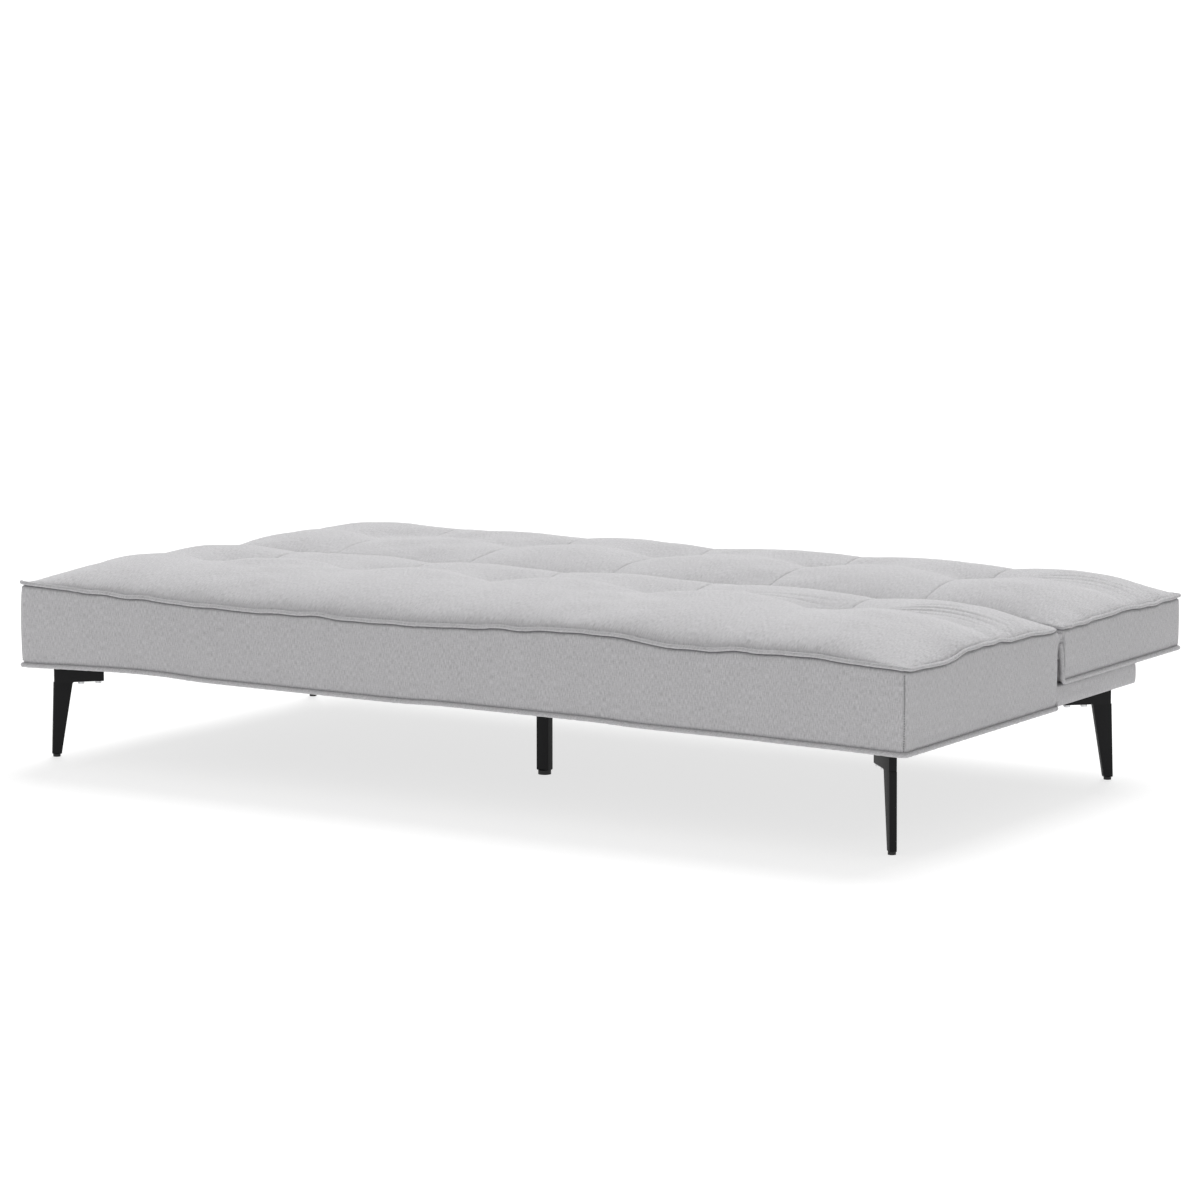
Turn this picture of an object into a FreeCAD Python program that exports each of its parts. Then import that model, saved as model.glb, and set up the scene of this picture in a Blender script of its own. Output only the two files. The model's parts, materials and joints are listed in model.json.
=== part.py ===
import FreeCAD
import Part
import math
import os
from FreeCAD import Vector

os.makedirs("parts", exist_ok=True)

# Futon sofa bed, drawn lying flat. Millimetres, +Z up, the long front side faces -Y.
# The origin is on the floor, under the middle of the whole bed.

# ---- overall sizes ----
half_length = 940.0
front_y = -540.0
rear_y = 540.0
frame_bottom = 180.0
frame_top = 212.0
welt_radius = 4.5
panel_inset = 2 * welt_radius
panel_half = half_length - panel_inset
fabric = 1.5
corner_radius = 12.0

# ---- seat mattress ----
seat_front = front_y + panel_inset
seat_rear = 35.0
seat_panel_bottom = 174.0
rim_height = 320.0
bottom_welt_height = 176.0
crown_steps = [(30.0, 31.0, 30.0), (50.0, 106.0, 60.0)]
felt_top = 216.0

# ---- ledge under the backrest ----
ledge_rear = 370.0
ledge_top = 217.0

# ---- backrest mattress ----
back_front = 55.0
back_rear = rear_y - panel_inset
back_bottom = 219.5
back_rail_bottom = 221.0
back_rail_top = 253.0
back_foam_bottom = 255.0
back_bottom_welt_height = 224.0

# ---- timber ----
rail_width = 49.5
rail_inner_half = 880.0
back_rail_inner_half = 885.0
mid_rail_front = -24.0
mid_rail_rear = 26.0
centre_rail_half = 25.0
corner_block_side = 100.0

# ---- hinge, measured from its pivot ----
pivot_y = 84.0
pivot_z = 308.0
head_radius = 15.0
neck_half = 10.0
pivot_bolt_radius = 5.0
turning_gap = 0.35
fixed_plate_x = (876.0, 880.0)
moving_plate_x = (881.0, 885.0)
bolt_radius = 3.0
bolt_head_radius = 6.0
bolt_head_height = 4.0
bolt_end_x = 905.0
base_bolts_y = (50.0, 70.0, 135.0)
base_bolt_height = 198.0
back_bolts_y = (165.0, 190.0, 215.0)
back_bolt_height = 238.0
slot_x = (872.0, 886.0)
pocket_x = (868.0, 893.0)
tooth_direction = 30.0
notch_angles = [0.0, 45.0, 75.0, 77.5, 80.0, 82.0]
pawl_pin_radius = 3.0
pawl_pin_out = 20.0
pawl_pin_across = -24.0

# ---- legs ----
leg_top = 178.5
leg_thickness = 14.0
flange_height = 37.5
glide_radius = 7.0
glide_height = 5.0
leg_feet = {
    "front_left": (-891.0, -492.0, 1, 1),
    "front_right": (891.0, -492.0, -1, 1),
    "rear_left": (-891.0, 336.0, 1, -1),
    "rear_right": (891.0, 336.0, -1, -1),
}
leg_screw_steps = [48.0, 80.0]
centre_leg_x = -12.0
centre_leg_y = -163.0
centre_glide_radius = 12.0
centre_glide_height = 8.0

# ---- tufting ----
seat_tufts_x = [-665.0, -343.0, -43.0, 287.0, 622.0]
seat_tuft_y = -215.0
back_tufts_x = [-640.0, -333.0, -22.0, 313.0, 635.0]
back_tuft_y = 320.0
tuft_tie_radius = 1.2
tuft_tie_top = 335.0

# ---- seat springs ----
springs_x = [-735.0, -525.0, -315.0, -105.0, 105.0, 315.0, 525.0, 735.0]
spring_wire_radius = 1.9
spring_height = 209.8
spring_run_half = 15.0
spring_runs = 16

# ---- back webbing ----
straps_x = [-760.0, -540.0, -320.0, -110.0, 110.0, 320.0, 540.0, 760.0]
strap_width = 50.0

nodes = {}


def box(x0, x1, y0, y1, z0, z1):
    return Part.makeBox(x1 - x0, y1 - y0, z1 - z0, Vector(x0, y0, z0))


def joined(shapes):
    result = shapes[0]
    for shape in shapes[1:]:
        result = result.fuse(shape)
    return result.removeSplitter()


def without(shape, tools):
    for tool in tools:
        shape = shape.cut(tool)
    return shape


def mirrored(shape):
    return shape.mirror(Vector(0, 0, 0), Vector(1, 0, 0))


def both_sides(shape):
    return [shape, mirrored(shape)]


# A flat outline in the Y-Z plane, pushed along X into a plate or a long bar.
def plate(points, x0, x1):
    corners = [Vector(x0, y, z) for y, z in points]
    face = Part.Face(Part.makePolygon(corners + [corners[0]]))
    return face.extrude(Vector(x1 - x0, 0, 0))


def rod_x(y, z, radius, x0, x1):
    return Part.makeCylinder(radius, x1 - x0, Vector(x0, y, z), Vector(1, 0, 0))


def rod_z(x, y, radius, z0, z1):
    return Part.makeCylinder(radius, z1 - z0, Vector(x, y, z0))


# A rectangle with rounded corners, lying level.
def rounded_outline(half, y0, y1, z, radius):
    k = radius * (1 - math.sqrt(0.5))
    arcs = [
        [(half - radius, y0), (half - k, y0 + k), (half, y0 + radius)],
        [(half, y1 - radius), (half - k, y1 - k), (half - radius, y1)],
        [(-half + radius, y1), (-half + k, y1 - k), (-half, y1 - radius)],
        [(-half, y0 + radius), (-half + k, y0 + k), (-half + radius, y0)],
    ]
    edges = []
    for index, arc in enumerate(arcs):
        first, middle, last = [Vector(x, y, z) for x, y in arc]
        edges.append(Part.Arc(first, middle, last).toShape())
        nx, ny = arcs[(index + 1) % 4][0]
        edges.append(Part.makeLine(last, Vector(nx, ny, z)))
    return Part.Wire(edges)


def rounded_block(half, y0, y1, z0, z1, radius):
    outline = rounded_outline(half, y0, y1, z0, radius)
    return Part.Face(outline).extrude(Vector(0, 0, z1 - z0))


# A mattress body: upright sides, then two sloping steps up to a level top.
def mattress(inset, y0, y1, z_bottom):
    half = panel_half - inset
    levels = [(z_bottom, 0.0, corner_radius), (rim_height, 0.0, corner_radius)]
    for rise, slope, radius in crown_steps:
        levels.append((rim_height + rise - inset, slope, radius))
    outlines = []
    for z, slope, radius in levels:
        outline = rounded_outline(half - slope, y0 + inset + slope, y1 - inset - slope,
                                  z, radius - inset)
        outlines.append(outline)
    return Part.makeLoft(outlines, True, True)


# The backrest body has a front face that leans back and a cut-off lower front edge.
def backrest_body(inset, z_bottom):
    whole = mattress(inset, back_front, back_rear, z_bottom)
    side = [
        (back_front + inset, rim_height),
        (back_front + 7 + inset * 0.95, back_bottom + 14 + inset * 0.4),
        (back_front + 21 + inset * 0.4, back_bottom + inset),
        (back_front + 21 + inset * 0.4, z_bottom),
        (rear_y, z_bottom),
        (rear_y, 400.0),
        (back_front + inset, 400.0),
    ]
    return whole.common(plate(side, -half_length, half_length))


# A round cord along both ends and the -Y side of a mattress, open at its far side.
def welt(y0, y1, z):
    half = panel_half + welt_radius
    bend = corner_radius + welt_radius
    first = y0 + bend
    pieces = [Part.makeCylinder(welt_radius, 2 * (half - bend), Vector(-half + bend, y0, z),
                                Vector(1, 0, 0))]
    for sign, turn in ((-1, 180), (1, 270)):
        pieces.append(Part.makeCylinder(welt_radius, y1 - first,
                                        Vector(sign * half, first, z), Vector(0, 1, 0)))
        corner = Part.makeTorus(bend, welt_radius, Vector(0, 0, 0), Vector(0, 0, 1),
                                -180, 180, 90)
        corner.rotate(Vector(0, 0, 0), Vector(0, 0, 1), turn)
        corner.translate(Vector(sign * (half - bend), first, z))
        pieces.append(corner)
    return joined(pieces)


# The backrest's welts open towards the seat, so each is made turned round.
def backrest_welt(front_end, z):
    turned = welt(-back_rear - welt_radius, -front_end, z)
    turned.rotate(Vector(0, 0, 0), Vector(0, 0, 1), 180)
    return turned


# ---------------------------------------------------------------- base frame
base_inside = rounded_block(panel_half - fabric, seat_front + fabric, ledge_rear - fabric,
                            160.0, 230.0, corner_radius - fabric)


def base_timber(x0, x1, y0, y1):
    return box(x0, x1, y0, y1, frame_bottom, frame_top).common(base_inside)


front_rail_inner = seat_front + fabric + rail_width
rear_rail_inner = ledge_rear - fabric - rail_width
nodes["base_front_rail"] = base_timber(-rail_inner_half, rail_inner_half, seat_front,
                                       front_rail_inner)
nodes["base_mid_rail"] = base_timber(-rail_inner_half, rail_inner_half, mid_rail_front,
                                      mid_rail_rear)
nodes["base_rear_rail"] = base_timber(-rail_inner_half, rail_inner_half, rear_rail_inner,
                                      ledge_rear)
end_rail = base_timber(rail_inner_half, panel_half, seat_front, ledge_rear)
nodes["base_centre_rail_front"] = base_timber(-centre_rail_half, centre_rail_half,
                                              front_rail_inner, mid_rail_front)
nodes["base_centre_rail_rear"] = base_timber(-centre_rail_half, centre_rail_half,
                                             mid_rail_rear, rear_rail_inner)


def corner_block(x, y, x_sign, y_sign):
    corners = [
        Vector(x, y, frame_bottom),
        Vector(x - x_sign * corner_block_side, y, frame_bottom),
        Vector(x, y + y_sign * corner_block_side, frame_bottom),
    ]
    face = Part.Face(Part.makePolygon(corners + [corners[0]]))
    return face.extrude(Vector(0, 0, frame_top - frame_bottom))


corner_blocks = []
for x_sign in (-1, 1):
    corner_blocks.append(corner_block(x_sign * rail_inner_half, front_rail_inner, x_sign, 1))
    corner_blocks.append(corner_block(x_sign * rail_inner_half, rear_rail_inner, x_sign, -1))

# ---------------------------------------------------------------- legs
leg_screws = []
for name, (foot_x, foot_y, inward_x, inward_y) in leg_feet.items():
    side = [
        (-8.75, glide_height),
        (8.75, glide_height),
        (31.0, leg_top - flange_height - 4.0),
        (35.0, leg_top - flange_height),
        (90.25, leg_top - flange_height),
        (90.25, leg_top),
        (-2.75, leg_top),
    ]
    corners = [Vector(s, -leg_thickness / 2, z) for s, z in side]
    leg = Part.Face(Part.makePolygon(corners + [corners[0]])).extrude(
        Vector(0, leg_thickness, 0))
    angle = math.degrees(math.atan2(inward_y, inward_x))
    leg.rotate(Vector(0, 0, 0), Vector(0, 0, 1), angle)
    leg.translate(Vector(foot_x, foot_y, 0))
    screws = []
    for step in leg_screw_steps:
        x = foot_x + inward_x * step * math.sqrt(0.5)
        y = foot_y + inward_y * step * math.sqrt(0.5)
        shank = rod_z(x, y, 3.0, leg_top - flange_height, 204.0)
        head = rod_z(x, y, 6.0, leg_top - flange_height - 4.0, leg_top - flange_height)
        screws.append(joined([shank, head]))
    nodes["leg_" + name] = without(leg, screws)
    nodes["glide_" + name] = rod_z(foot_x, foot_y, glide_radius, 0.0, glide_height)
    leg_screws += screws

tube = box(centre_leg_x - 12.5, centre_leg_x + 12.5, centre_leg_y - 9.0, centre_leg_y + 9.0,
           centre_glide_height, leg_top - 3.0)
tube_bore = box(centre_leg_x - 11.0, centre_leg_x + 11.0, centre_leg_y - 7.5,
                centre_leg_y + 7.5, centre_glide_height + 2.0, leg_top - 3.0)
top_plate = box(centre_leg_x - 12.5, centre_leg_x + 12.5, centre_leg_y - 38.0,
                centre_leg_y + 38.0, leg_top - 3.0, leg_top)
centre_screws = []
for y in (centre_leg_y - 26.0, centre_leg_y + 26.0):
    shank = rod_z(centre_leg_x, y, 2.5, leg_top - 3.0, 204.0)
    head = rod_z(centre_leg_x, y, 5.0, leg_top - 6.0, leg_top - 3.0)
    centre_screws.append(joined([shank, head]))
nodes["centre_leg"] = without(joined([tube.cut(tube_bore), top_plate]), centre_screws)
nodes["glide_centre"] = rod_z(centre_leg_x, centre_leg_y, centre_glide_radius, 0.0,
                              centre_glide_height)
leg_screws += centre_screws
nodes["leg_screws"] = Part.makeCompound(leg_screws)
nodes["base_corner_blocks"] = Part.makeCompound([without(block, leg_screws)
                                                 for block in corner_blocks])
nodes["base_centre_rail_front"] = without(nodes["base_centre_rail_front"], centre_screws)
dust_sheet = rounded_block(panel_half - 6.0, seat_front + 6.0, ledge_rear - 6.0,
                           leg_top, frame_bottom, corner_radius)
nodes["dust_cover"] = without(dust_sheet, leg_screws)

# ---------------------------------------------------------------- hinges
# Points near the pivot are given as (outward, across) along and square to the tooth.
tooth_turn = math.radians(tooth_direction)


def near_pivot(out, across, turn=0.0):
    angle = tooth_turn + math.radians(turn)
    y = pivot_y + out * math.cos(angle) - across * math.sin(angle)
    z = pivot_z + out * math.sin(angle) + across * math.cos(angle)
    return (y, z)


fixed_foot = plate([(34, 184), (150, 184), (150, 212), (34, 212)], *fixed_plate_x)
fixed_neck = plate([(pivot_y - neck_half, 212), (pivot_y + neck_half, 212),
                    (pivot_y + neck_half, pivot_z), (pivot_y - neck_half, pivot_z)],
                   *fixed_plate_x)
fixed_head = rod_x(pivot_y, pivot_z, head_radius, *fixed_plate_x)
notches = []
for turn in notch_angles:
    corners = [(11.3, -3.4), (17.0, -3.8), (17.0, 3.4), (11.3, 3.0)]
    outline = [near_pivot(out, across, turn) for out, across in corners]
    notches.append(plate(outline, *fixed_plate_x))


# A bolt through a hinge plate into the timber beside it, with its head on the plate.
def plate_bolt(y, z, plate_x):
    shank = rod_x(y, z, bolt_radius, plate_x, bolt_end_x)
    head = rod_x(y, z, bolt_head_radius, plate_x - bolt_head_height, plate_x)
    return joined([shank, head])


base_bolts = [plate_bolt(y, base_bolt_height, fixed_plate_x[0]) for y in base_bolts_y]
back_bolts = [plate_bolt(y, back_bolt_height, moving_plate_x[0]) for y in back_bolts_y]
pivot_bolt = joined([rod_x(pivot_y, pivot_z, pivot_bolt_radius, 871.0, 890.0),
                     rod_x(pivot_y, pivot_z, 9.0, 871.0, fixed_plate_x[0]),
                     rod_x(pivot_y, pivot_z, 8.0, 885.4, 890.0)])
fixed_plate = without(joined([fixed_foot, fixed_neck, fixed_head]),
                      notches + [pivot_bolt] + base_bolts)

moving_arm = plate([(98, 313), (150, 250), (230, 250), (230, 226), (104, 226), (71, 300)],
                   *moving_plate_x)
moving_eye = rod_x(pivot_y, pivot_z, head_radius, *moving_plate_x)
pivot_hole = rod_x(pivot_y, pivot_z, pivot_bolt_radius + turning_gap, *moving_plate_x)
pin_y, pin_z = near_pivot(pawl_pin_out, pawl_pin_across)
pawl_pin = joined([rod_x(pin_y, pin_z, pawl_pin_radius, 873.0, moving_plate_x[1]),
                   rod_x(pin_y, pin_z, 5.0, 873.0, 875.5)])
moving_plate = without(joined([moving_arm, moving_eye]), [pivot_hole, pawl_pin] + back_bolts)

pawl_outline = [(26, -24), (25, 3), (20, 4), (16.2, 2), (16.2, -2), (19.5, -4), (17, -18)]
pawl_arm = plate([near_pivot(out, across) for out, across in pawl_outline], *fixed_plate_x)
pawl_hub = rod_x(pin_y, pin_z, 6.5, *fixed_plate_x)
pawl_hole = rod_x(pin_y, pin_z, pawl_pin_radius + turning_gap, *fixed_plate_x)
pawl = joined([pawl_arm, pawl_hub]).cut(pawl_hole)

for name, shape in [("hinge_base_plate", fixed_plate), ("hinge_pivot_bolt", pivot_bolt),
                    ("hinge_back_plate", moving_plate), ("pawl_pin", pawl_pin),
                    ("pawl", pawl)]:
    nodes[name + "_right"] = shape
    nodes[name + "_left"] = mirrored(shape)
hinge_base_bolts = [tool for bolt in base_bolts for tool in both_sides(bolt)]
hinge_back_bolts = [tool for bolt in back_bolts for tool in both_sides(bolt)]
nodes["hinge_base_bolts"] = Part.makeCompound(hinge_base_bolts)
nodes["hinge_back_bolts"] = Part.makeCompound(hinge_back_bolts)

end_rail = without(end_rail, base_bolts)
nodes["base_end_rail_right"] = end_rail
nodes["base_end_rail_left"] = mirrored(end_rail)

# Room for each hinge: a narrow slot through fabric and board, a wider pocket in the foam.
fabric_slots = both_sides(plate([(50, 205), (99, 205), (99, 225), (75, 316.5), (50, 316.5)],
                                *slot_x))
foam_pockets = both_sides(plate([(50, 205), (100, 205), (100, 250), (160, 250), (122, 310),
                                 (122, 328), (80, 328), (70, 318), (50, 316.5)],
                                *pocket_x))

# ---------------------------------------------------------------- seat upholstery
springs = []
for x in springs_x:
    edges = []
    y = front_rail_inner + 4.0
    step = (mid_rail_front - 4.0 - y) / spring_runs
    bend = step / 2
    side = 1
    for run in range(spring_runs + 1):
        run_y = y + run * step
        edges.append(Part.makeLine(Vector(x - side * spring_run_half, run_y, spring_height),
                                   Vector(x + side * spring_run_half, run_y, spring_height)))
        if run < spring_runs:
            edge_x = x + side * spring_run_half
            edges.append(Part.Arc(Vector(edge_x, run_y, spring_height),
                                  Vector(edge_x + side * bend, run_y + bend, spring_height),
                                  Vector(edge_x, run_y + step, spring_height)).toShape())
        side = -side
    start = Vector(x - spring_run_half, y, spring_height)
    profile = Part.Wire(Part.makeCircle(spring_wire_radius, start, Vector(1, 0, 0)))
    springs.append(Part.Wire(edges).makePipeShell([profile], True, True))
nodes["seat_springs"] = Part.makeCompound(springs)

clips = []
for x in springs_x:
    for y0, y1 in ((front_rail_inner, front_rail_inner + 8.0),
                   (mid_rail_front - 8.0, mid_rail_front)):
        clip = box(x - 9.0, x + 9.0, y0, y1, 205.0, frame_top)
        clips.append(without(clip, [springs[springs_x.index(x)]]))
nodes["spring_clips"] = Part.makeCompound(clips)

seat_ties = [rod_z(x, seat_tuft_y, tuft_tie_radius, frame_top, tuft_tie_top)
             for x in seat_tufts_x]
nodes["seat_tuft_ties"] = Part.makeCompound(seat_ties)
seat_inside = mattress(fabric, seat_front, seat_rear, 170.0)
seat_outside = mattress(0.0, seat_front, seat_rear, seat_panel_bottom)
felt = seat_inside.common(box(-half_length, half_length, front_y, rear_y, frame_top, felt_top))
nodes["seat_insulator"] = without(felt, seat_ties)
seat_foam = seat_inside.common(box(-half_length, half_length, front_y, rear_y, felt_top, 400.0))
nodes["seat_foam"] = without(seat_foam, seat_ties)
rear_opening = box(-panel_half + fabric, panel_half - fabric, 0.0, seat_rear + 1, 160.0,
                   ledge_top)
nodes["seat_cover"] = without(seat_outside, [seat_inside, rear_opening])
nodes["seat_top_welt"] = welt(seat_front - welt_radius, seat_rear - corner_radius, rim_height)
nodes["seat_bottom_welt"] = welt(seat_front - welt_radius, seat_rear, bottom_welt_height)

# ---------------------------------------------------------------- ledge upholstery
ledge_space = box(-half_length, half_length, seat_rear, rear_y, frame_bottom, ledge_top)
ledge_outside = rounded_block(panel_half, seat_front, ledge_rear, frame_bottom, ledge_top,
                              corner_radius)
ledge_inside = rounded_block(panel_half - fabric, seat_front, ledge_rear - fabric, 170.0,
                             ledge_top - fabric, corner_radius - fabric)
ledge_fabric = ledge_outside.common(ledge_space).cut(ledge_inside)
nodes["ledge_cover"] = without(ledge_fabric, fabric_slots)
board_space = box(-half_length, half_length, seat_rear, rear_y, frame_top, ledge_top)
nodes["ledge_board"] = without(ledge_inside.common(board_space), fabric_slots)

# ---------------------------------------------------------------- backrest
back_inside = backrest_body(fabric, 215.0)
back_outside = backrest_body(0.0, back_bottom)


def back_timber(x0, x1, y0, y1):
    bar = box(x0, x1, y0, y1, back_rail_bottom, back_rail_top)
    return bar.common(back_inside)


nodes["back_front_rail"] = back_timber(-moving_plate_x[0], moving_plate_x[0], 100.0, 145.0)
nodes["back_rear_rail"] = back_timber(-back_rail_inner_half, back_rail_inner_half,
                                      back_rear - rail_width, rear_y)
nodes["back_centre_rail"] = back_timber(-22.0, 22.0, 145.0, back_rear - rail_width)
back_end_rail = without(back_timber(back_rail_inner_half, panel_half, 70.0, rear_y), back_bolts)
nodes["back_end_rail_right"] = back_end_rail
nodes["back_end_rail_left"] = mirrored(back_end_rail)

straps = [box(x - strap_width / 2, x + strap_width / 2, 105.0, 525.0,
              back_rail_top, back_foam_bottom) for x in straps_x]
nodes["back_webbing"] = Part.makeCompound(straps)
back_ties = [rod_z(x, back_tuft_y, tuft_tie_radius, back_foam_bottom, tuft_tie_top)
             for x in back_tufts_x]
nodes["back_tuft_ties"] = Part.makeCompound(back_ties)
foam_block = box(-half_length, half_length, 0.0, rear_y, back_foam_bottom, 400.0)
foam_front = box(-back_rail_inner_half, back_rail_inner_half, 0.0, 100.0,
                 back_rail_bottom, back_foam_bottom)
back_foam = joined([foam_block.common(back_inside), foam_front.common(back_inside)])
nodes["back_foam"] = without(back_foam, foam_pockets + back_ties)
nodes["back_cover"] = without(back_outside, [back_inside] + fabric_slots)
panel_space = box(-half_length, half_length, 0.0, rear_y, back_bottom, back_rail_bottom)
nodes["back_under_panel"] = without(back_inside.common(panel_space), fabric_slots)
nodes["back_top_welt"] = backrest_welt(back_front + corner_radius, rim_height)
nodes["back_bottom_welt"] = backrest_welt(back_front + 25.0, back_bottom_welt_height)

# ---------------------------------------------------------------- fabric across the fold
gusset_line = [(seat_rear, 313.0), (39.0, 306.5), (45.0, 304.0), (51.0, 306.5),
               (back_front + 0.5, 313.0)]
gusset_under = [(y, z - fabric) for y, z in reversed(gusset_line)]
nodes["junction_gusset"] = plate(gusset_line + gusset_under, -panel_half + 3, panel_half - 3)

for name, shape in nodes.items():
    shape.exportStep("parts/" + name + ".step")
print(len(nodes), "nodes written")
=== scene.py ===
import json
import math

import bmesh
import bpy
import numpy as np
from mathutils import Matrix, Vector


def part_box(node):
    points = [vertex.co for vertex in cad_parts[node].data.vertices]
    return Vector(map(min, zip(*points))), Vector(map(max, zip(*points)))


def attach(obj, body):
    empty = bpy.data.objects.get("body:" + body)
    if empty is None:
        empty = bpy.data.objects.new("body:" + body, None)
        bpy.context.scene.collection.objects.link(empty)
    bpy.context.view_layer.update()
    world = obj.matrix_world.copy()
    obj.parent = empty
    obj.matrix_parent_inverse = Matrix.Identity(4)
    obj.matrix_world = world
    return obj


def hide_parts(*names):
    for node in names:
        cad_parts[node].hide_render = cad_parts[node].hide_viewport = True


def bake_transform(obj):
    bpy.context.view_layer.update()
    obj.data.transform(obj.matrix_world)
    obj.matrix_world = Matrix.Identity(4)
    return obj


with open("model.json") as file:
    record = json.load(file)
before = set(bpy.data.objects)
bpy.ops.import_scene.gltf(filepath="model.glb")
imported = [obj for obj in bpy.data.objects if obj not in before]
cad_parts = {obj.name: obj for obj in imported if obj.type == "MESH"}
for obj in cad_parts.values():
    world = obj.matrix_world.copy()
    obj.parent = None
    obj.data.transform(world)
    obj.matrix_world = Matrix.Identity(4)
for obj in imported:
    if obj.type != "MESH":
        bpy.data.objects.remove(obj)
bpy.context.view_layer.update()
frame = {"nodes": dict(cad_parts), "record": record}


# A box with its sides moved outwards, less on the side that faces the fold.
def widened(low, high, ends, front, rear):
    return Vector((low.x - ends, low.y - front, low.z)), Vector((high.x + ends, high.y + rear, high.z))


# A weighted average of named points: the nearer a point is, the more it counts.
def smoothBetween(x, points, reach=0.10):
    places = np.array([p[0] for p in points])
    values = np.array([p[1] for p in points])
    weights = np.exp(-((x[..., None] - places) / reach) ** 2) + 1e-9
    return (weights * values).sum(-1) / weights.sum(-1)


# Lines from low to high that crowd at both ends: an even spacing mixed with a sine.
def gradedLines(low, high, count, evenShare):
    t = np.linspace(-1, 1, count)
    t = evenShare * t + (1 - evenShare) * np.sin(0.5 * np.pi * t)
    return (low + high) / 2 + (high - low) / 2 * t


# More lines beside each named place, so that a narrow crease has enough of them.
def withLinesNear(lines, places, reach, step):
    extra = np.add.outer(np.array(places), np.arange(-reach, reach + step / 2, step)).ravel()
    merged = np.sort(np.concatenate([lines, extra]))
    keep = np.concatenate([[True], np.diff(merged) > step * 0.35])
    keep[-1] = True
    merged = merged[keep]
    merged[0], merged[-1] = lines[0], lines[-1]
    return merged


# A sum of sines with unlike lengths and phases, about 1 high.
def wander(x, length, seed):
    steps = np.arange(1, 5)
    phases = np.sin(steps * 12.9898 + seed * 78.233) * 43758.5453 % (2 * np.pi)
    rates = 2 * np.pi / length * (0.55 + 0.37 * steps)
    return np.sin(x[..., None] * rates + phases).sum(-1) / 2.4


# A quarter of a superellipse: 0 at the seam, 1 from reach inwards.
def edgeRise(distance, reach, power=1.7):
    q = np.clip(1 - distance / reach, 0, 1)
    return np.clip(1 - q ** power, 0, 1) ** (1 / power)


# Points, faces and one texture place per face corner become a smooth mesh object.
def makePiece(name, points, faces, cornerUv=None, looseFaces=()):
    mesh = bpy.data.meshes.new(name)
    mesh.from_pydata(np.asarray(points).tolist(), [], np.asarray(faces).tolist() + list(looseFaces))
    if cornerUv is not None:
        layer = mesh.uv_layers.new(name="cloth")
        flat = np.zeros((len(mesh.loops), 2), np.float32)
        given = np.asarray(cornerUv).reshape(-1, 2)
        flat[: len(given)] = given
        layer.data.foreach_set("uv", flat.ravel())
    mesh.shade_smooth()
    mesh.validate()
    piece = bpy.data.objects.new(name, mesh)
    bpy.context.scene.collection.objects.link(piece)
    return piece


# The distance from a path's first point to each of its points.
def lengthAlong(path):
    return np.concatenate([[0], np.cumsum(np.linalg.norm(np.diff(path, axis=0), axis=1))])


# Quads between neighbouring rows and columns of a grid numbered row by row.
def gridQuads(rows, columns, wrap=False):
    number = np.arange(rows * columns).reshape(rows, columns)
    if wrap:
        number = np.hstack([number, number[:, :1]])
    return np.stack([number[:-1, :-1], number[:-1, 1:], number[1:, 1:], number[1:, :-1]],
                    -1).reshape(-1, 4)


# A round section carried along a path: each point gets a ring square to the path.
def tubeAlong(name, path, radius, sides):
    path = np.asarray(path, float)
    ahead = np.gradient(path, axis=0)
    ahead /= np.linalg.norm(ahead, axis=1)[:, None]
    side = np.cross(ahead, [0.0, 0.0, 1.0])
    weak = np.linalg.norm(side, axis=1) < 0.2
    side[weak] = np.cross(ahead[weak], [0.0, 1.0, 0.0])
    side /= np.linalg.norm(side, axis=1)[:, None]
    up = np.cross(side, ahead)
    turn = np.linspace(0, 2 * np.pi, sides, endpoint=False)
    radius = np.broadcast_to(np.asarray(radius, float), (len(path),))
    ring = (side[:, None] * np.cos(turn)[None, :, None] + up[:, None] * np.sin(turn)[None, :, None])
    points = (path[:, None] + ring * radius[:, None, None]).reshape(-1, 3)
    quads = gridQuads(len(path), sides, wrap=True)[:, ::-1]
    along = lengthAlong(path)
    around = np.arange(sides + 1) / sides * 2 * np.pi * radius.mean()
    u, v = np.meshgrid(along, around, indexing="ij")
    uv = np.stack([u, v], -1)
    corner = np.stack([uv[:-1, :-1], uv[:-1, 1:], uv[1:, 1:], uv[1:, :-1]], 2).reshape(-1, 4, 2)
    last = (len(path) - 1) * sides
    caps = [list(range(sides)), list(range(last + sides - 1, last - 1, -1))]
    return makePiece(name, points, quads, corner[:, ::-1], caps)


# One material and the body that the piece moves with.
def finishPiece(piece, material, body):
    piece.data.materials.clear()
    piece.data.materials.append(material)
    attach(piece, body)


# How far the seam wanders up or down: each side's own curve, fading away from that side.
def seamLift(x, y, c):
    (x0, y0, _), (x1, y1, _) = c["box"]
    reach = 0.06
    front = smoothBetween(x, c["frontLift"]) + c["ripple"] * 0.0012 * wander(x, 0.16, 1.7)
    rear = smoothBetween(x, c["rearLift"]) + c["ripple"] * 0.0012 * wander(x, 0.17, 2.9)
    ends = smoothBetween(y, c["endLift"], 0.07) + c["ripple"] * 0.0010 * wander(y, 0.12, 4.1)
    endGap = np.minimum(x - x0, x1 - x)
    lift = front * np.exp(-(y - y0) / reach) + rear * np.exp(-(y1 - y) / reach)
    return lift + ends * np.exp(-endGap / reach) * (1 - np.exp(-np.minimum(y - y0, y1 - y) / 0.03))
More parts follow.
